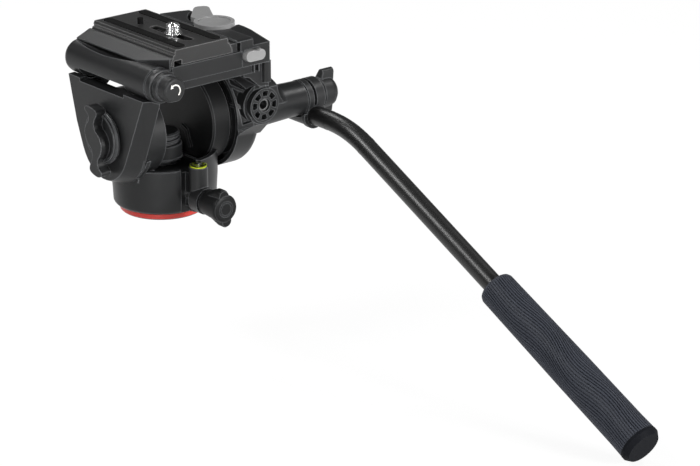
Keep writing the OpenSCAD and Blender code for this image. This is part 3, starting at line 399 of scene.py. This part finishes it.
def add_level():
    """Coloured liquid with a bubble and a centre circle under a clear dome."""
    low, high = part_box("level_vial")
    ring_low, ring_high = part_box("level_ring")
    middle = ((low[0] + high[0]) / 2, (low[1] + high[1]) / 2)
    depth = (ring_high[2] - low[2]) / MM
    edge = (ring_low[2] - low[2]) / MM
    wide = LEVEL_RADIUS
    liquid = [(0.3, 0), (5, 0), (5.1, edge), (wide, edge + 0.1)]
    liquid += [(wide, depth - 0.5), (wide - 0.3, depth - 0.3), (0.3, depth - 0.2)]
    points, faces = lathe((*middle, low[2]), liquid)
    add_piece("level_liquid", points, faces, "vial", "pan", ["level_vial", "level_ring"])

    radius, rise = LEVEL_BUBBLE
    steps = [math.radians(angle) for angle in range(-85, 90, 17)]
    bubble = [(radius * math.cos(step), rise * math.sin(step)) for step in steps]
    place = (middle[0] + LEVEL_SHIFT[0] * MM, middle[1] + LEVEL_SHIFT[1] * MM, low[2] + (depth - 0.2) * MM)
    points, faces = lathe(place, bubble, 32)
    add_piece("level_bubble", points, faces, "nylon", "pan")

    radius, thick = LEVEL_CIRCLE
    steps = [math.radians(angle) for angle in range(0, 361, 30)]
    circle = [(radius + thick * math.cos(step), thick * math.sin(step)) for step in steps]
    points, faces = lathe((*middle, low[2] + (depth - 0.1) * MM), circle, 48)
    add_piece("level_circle", points, faces[:-2], "black_plastic", "pan")

    dome = [(wide, -0.1), (wide + 0.2, 0.1), (wide, 0.4), (wide - 1.5, 0.75), (wide - 3.4, 0.95)]
    dome += [(0.2, 1.05), (0.2, 0.55), (wide - 3, 0.5), (wide - 0.5, 0.1)]
    points, faces = lathe((*middle, ring_high[2]), dome)
    add_piece("level_window", points, faces[:-2], "vial", "pan", material=WINDOW)


# grip, in millimetres: start on the pan bar, slope of the bar, pairs of length and radius
GRIP_START = (103.7, -233.65, -17.48)
GRIP_SLOPE = math.radians(25.8)
GRIP_PROFILE = (
    (0, 10.8), (0.7, 12.2), (2.4, 12.9), (45, 13.3), (85, 13.7), (141, 13.9), (151, 14.2), (153, 14.2),
)
GRIP_BORE = 7.02
GRIP_LENGTH = 153
GRIP_GROOVES = 46
GRIP_DEPTH = 0.9
GRIP_ROWS = 120
# swing of the grooves: angle, waves along the grip, and how the waves shift round it
GRIP_SWING = 0.24
GRIP_WAVES = 2
GRIP_SHIFT = 0.8
# columns of one groove: place in its pitch, and share of its depth
GRIP_COLUMNS = ((-0.28, 0), (-0.18, 1), (0.1, 1), (0.2, 0))


def grip_radius(length):
    for (low, first), (high, second) in zip(GRIP_PROFILE, GRIP_PROFILE[1:]):
        if length <= high:
            share = (length - low) / (high - low)
            return first + (second - first) * share
    return GRIP_PROFILE[-1][1]


def grip_sway(length, angle):
    """How far a groove has swung round the grip at that length."""
    share = length / GRIP_LENGTH
    wave = 2 * math.pi * GRIP_WAVES * share + GRIP_SHIFT * math.sin(angle + 0.4)
    return GRIP_SWING * math.sin(math.pi * share) * math.sin(wave)


def add_grip():
    """Rubber sleeve with long swaying grooves."""
    along = Vector((0, -math.cos(GRIP_SLOPE), -math.sin(GRIP_SLOPE)))
    right = Vector((1, 0, 0))
    up = along.cross(right)
    start = Vector(GRIP_START)
    pitch = 2 * math.pi / GRIP_GROOVES
    step = (GRIP_LENGTH - 4.5) / GRIP_ROWS
    lengths = [0, 0.3, 0.7, 1.4, 2.4, *(3 + step * row for row in range(GRIP_ROWS + 1)), GRIP_LENGTH]
    points = []

    def add_ring(length, radius_of):
        for groove in range(GRIP_GROOVES):
            bend = 0.2 * math.sin(groove * 2.4)
            for place, share in GRIP_COLUMNS:
                rest = pitch * (groove + bend * (0.5 - abs(place)) + place)
                angle = rest + grip_sway(length, rest)
                size = radius_of(share)
                spot = start + along * length + (right * math.cos(angle) + up * math.sin(angle)) * size
                points.append(tuple(spot * MM))

    add_ring(0, lambda share: GRIP_BORE)
    for length in lengths:
        cut = GRIP_DEPTH * min(1, max(0, (length - 1) / 3), max(0, (GRIP_LENGTH - length) / 1.5))
        add_ring(length, lambda share: grip_radius(length) - cut * share)
    add_ring(GRIP_LENGTH, lambda share: GRIP_BORE)
    columns = GRIP_GROOVES * len(GRIP_COLUMNS)
    faces = ring_faces(len(lengths) + 2, columns)
    grip = add_piece("grip_sleeve", points, faces[:-2], "grip_rubber", "bar", ["bar_grip"])
    sharpen(grip, 42)


# turn mark on the slide lock knob: radius, half width and ends of the arc, half width and sweep of its head
MARK_RADIUS = 4.2
MARK_HALF = 0.42
MARK_ENDS = (-50, 118)
MARK_HEAD = (1.5, 34)
MARK_STEPS = 40
# thickness of the print, and its lift off the knob, in metres
MARK_THICK = 0.0001
MARK_LIFT = 0.00002


def add_turn_mark():
    """A printed curved arrow that shows the way the knob turns."""
    low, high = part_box("slide_lock_knob")
    centre = ((low[0] + high[0]) / 2, low[1] - MARK_LIFT, high[2] - (high[0] - low[0]) / 2)
    first, last = MARK_ENDS
    points, faces = [], []

    def spot(radius, degrees, back):
        angle = math.radians(degrees)
        across, up = radius * MM * math.cos(angle), radius * MM * math.sin(angle)
        return (centre[0] + across, centre[1] + back, centre[2] + up)

    for step in range(MARK_STEPS + 1):
        degrees = first + (last - first) * step / MARK_STEPS
        for side, back in ((-1, 0), (1, 0), (1, MARK_THICK), (-1, MARK_THICK)):
            points.append(spot(MARK_RADIUS + side * MARK_HALF, degrees, back))
    for step in range(MARK_STEPS):
        for side in range(4):
            after = (side + 1) % 4
            low_step, high_step = 4 * step, 4 * step + 4
            faces.append((low_step + side, low_step + after, high_step + after, high_step + side))
    half, sweep = MARK_HEAD
    base = len(points)
    for back in (0, MARK_THICK):
        points += [spot(MARK_RADIUS - half, last, back), spot(MARK_RADIUS + half, last, back)]
        points.append(spot(MARK_RADIUS, last + sweep, back))
    faces += [(base, base + 1, base + 2), (base + 5, base + 4, base + 3)]
    for side in range(3):
        after = (side + 1) % 3
        faces.append((base + side, base + after, base + 3 + after, base + 3 + side))
    mark = add_piece("turn_mark", points, faces, "nylon", "slide_lock")
    sharpen(mark, 30)


def add_camera():
    data = bpy.data.cameras.new("camera")
    data.lens = CAMERA_LENS
    camera = bpy.data.objects.new("camera", data)
    camera.location = CAMERA_PLACE
    camera.rotation_euler = [math.radians(angle) for angle in CAMERA_TURN]
    bpy.context.collection.objects.link(camera)
    bpy.context.scene.camera = camera


# lamps: name, place and size in metres, power in watts
LAMPS = (
    ("key", (-1.35, 0.55, 1.75), (1.2, 0.6), 42),
    ("front", (-1.5, -1.4, 0.2), (0.16, 0.6), 18),
    ("right", (0.55, -2.1, 0.5), (0.4, 0.4), 50),
    ("top", (1.3, -0.7, 1.6), (0.4, 0.4), 18),
    ("rear", (0.3, 1.3, 1.7), (0.6, 0.6), 12),
)


def add_lamp(name, place, size, power):
    """A soft box of that width and height, turned to the object."""
    data = bpy.data.lights.new(name, "AREA")
    data.shape = "RECTANGLE"
    data.size, data.size_y = size
    data.energy = power
    lamp = bpy.data.objects.new(name, data)
    lamp.location = place
    lamp.rotation_euler = (Vector(LAMP_AIM) - Vector(place)).to_track_quat("-Z", "Y").to_euler()
    bpy.context.collection.objects.link(lamp)


def seen_directly(tree):
    """1 where the eye, a reflection or clear glass sees a surface, 0 for its light on others."""
    kinds = ("Is Camera Ray", "Is Glossy Ray", "Is Transmission Ray")
    camera, glossy, clear = [tree.add("ShaderNodeLightPath", {}, {}, out=kind) for kind in kinds]
    return camera.math("MAXIMUM", camera, glossy.math("MAXIMUM", glossy, clear))


# studio: white at the horizon and below, dim above
STUDIO_WHITE = colour(1)
STUDIO_DIM = colour(0.08)
STUDIO_EDGE = (0.07, 0.06)
FLOOR_COLOUR = colour(0.9)
FLOOR_WHITE = 0.9


def add_world():
    world = bpy.data.worlds.new("studio")
    tree = Tree(world)
    dim = tree.axis("Generated", 2).above(*STUDIO_EDGE)
    light = tree.add("ShaderNodeBackground", {}, {"Color": tree.blend(dim, STUDIO_WHITE, STUDIO_DIM)})
    tree.add("ShaderNodeOutputWorld", {}, {0: light})
    bpy.context.scene.world = world


def add_floor():
    """A pale floor that keeps the shadow and fades into the white background."""
    level = cad_box[0][2] - FLOOR_GAP
    half = FLOOR_HALF
    corners = [(-half, -half, level), (half, -half, level), (half, half, level), (-half, half, level)]
    mesh = bpy.data.meshes.new("floor")
    mesh.from_pydata(corners, [], [(0, 1, 2, 3)])
    finish = Finish("floor_white", base_color=FLOOR_COLOUR, roughness=1, specular_ior_level=0)
    glow = finish.add("ShaderNodeEmission", {}, {"Color": STUDIO_WHITE})
    plain = Wire(finish, finish.shader.outputs[0])
    mix = finish.add("ShaderNodeMixShader", {}, {0: FLOOR_WHITE * seen_directly(finish), 1: plain, 2: glow})
    finish.join(finish.output.inputs[0], mix)
    mesh.materials.append(finish.owner)
    floor = bpy.data.objects.new("floor", mesh)
    bpy.context.collection.objects.link(floor)


add_camera()
dress_nodes()
add_camera_screw()
add_level()
add_grip()
add_turn_mark()
add_world()
add_floor()
for lamp in LAMPS:
    add_lamp(*lamp)
bpy.context.scene.view_settings.view_transform = "Standard"
